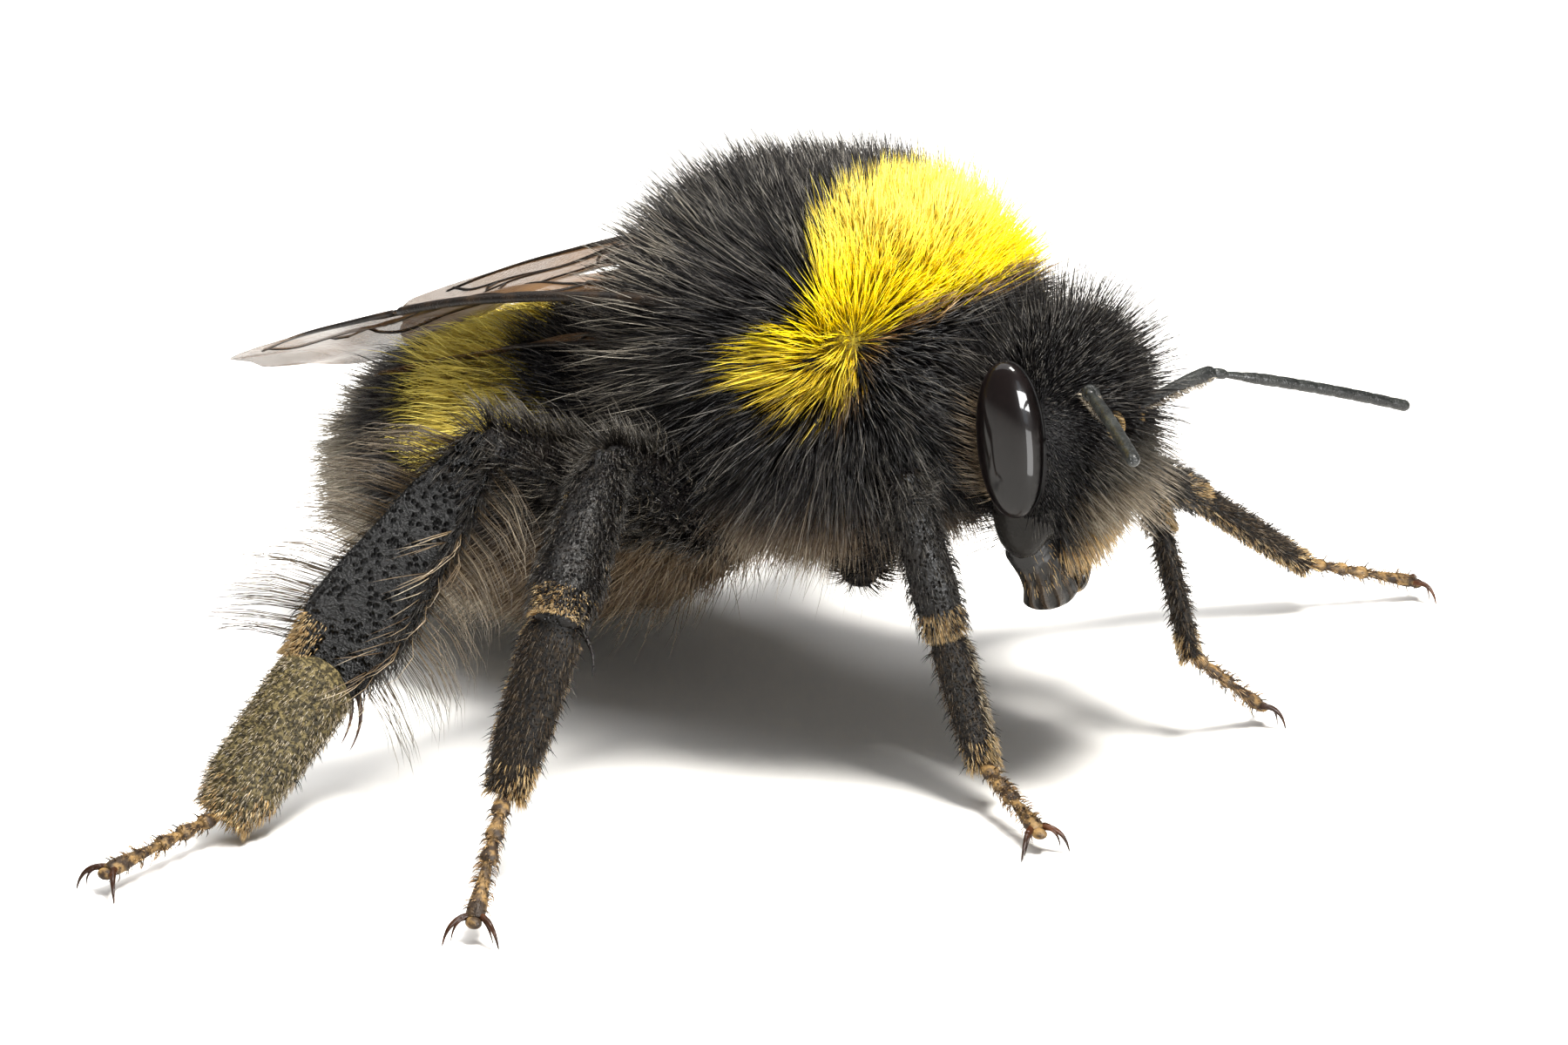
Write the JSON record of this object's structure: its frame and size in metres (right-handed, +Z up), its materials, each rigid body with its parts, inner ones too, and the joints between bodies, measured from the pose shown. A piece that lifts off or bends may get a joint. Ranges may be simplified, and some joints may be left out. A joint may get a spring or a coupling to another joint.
{
  "type": "bumblebee",
  "caption": "Life-size bumblebee standing still on its feet, furry body, wings folded back, feelers forward.",
  "frame": {"origin": "on the ground, under the middle of the bounding box", "axes": "+Z up, +X the way the bee faces, +Y its left"},
  "size_m": [0.0222, 0.028, 0.011],
  "materials": {
    "dark_coat": "dense black hair with a lemon-yellow collar across the front of the thorax",
    "banded_coat": "dense hair: black, one yellow band, and a dirty white tail",
    "eye": "polished black, very finely faceted",
    "jaw": "black, grooved, half gloss",
    "feeler": "black, ringed, silky",
    "wing": "thin smoky brown clear membrane with dark veins",
    "leg": "black horn with short hair, pale gold at the joints",
    "toes": "orange-brown horn with short bristles, dark claws"
  },
  "bodies": {
    "root": {"thorax": "dark_coat", "abdomen": "banded_coat", "head": "dark_coat", "eye_left": "eye", "eye_right": "eye", "mandible_left": "jaw", "mandible_right": "jaw", "scape_left": "feeler", "scape_right": "feeler", "flagellum_left": "feeler", "flagellum_right": "feeler", "forewing_left": "wing", "forewing_right": "wing", "hindwing_left": "wing", "hindwing_right": "wing", "front_right_femur": "leg", "front_right_tibia": "leg", "front_right_basitarsus": "leg", "front_right_tarsus": "toes", "front_left_femur": "leg", "front_left_tibia": "leg", "front_left_basitarsus": "leg", "front_left_tarsus": "toes", "middle_right_femur": "leg", "middle_right_tibia": "leg", "middle_right_basitarsus": "leg", "middle_right_tarsus": "toes", "middle_left_femur": "leg", "middle_left_tibia": "leg", "middle_left_basitarsus": "leg", "middle_left_tarsus": "toes", "hind_right_femur": "leg", "hind_right_tibia": "leg", "hind_right_basitarsus": "leg", "hind_right_tarsus": "toes", "hind_left_femur": "leg", "hind_left_tibia": "leg", "hind_left_basitarsus": "leg", "hind_left_tarsus": "toes"}
  },
  "joints": []
}
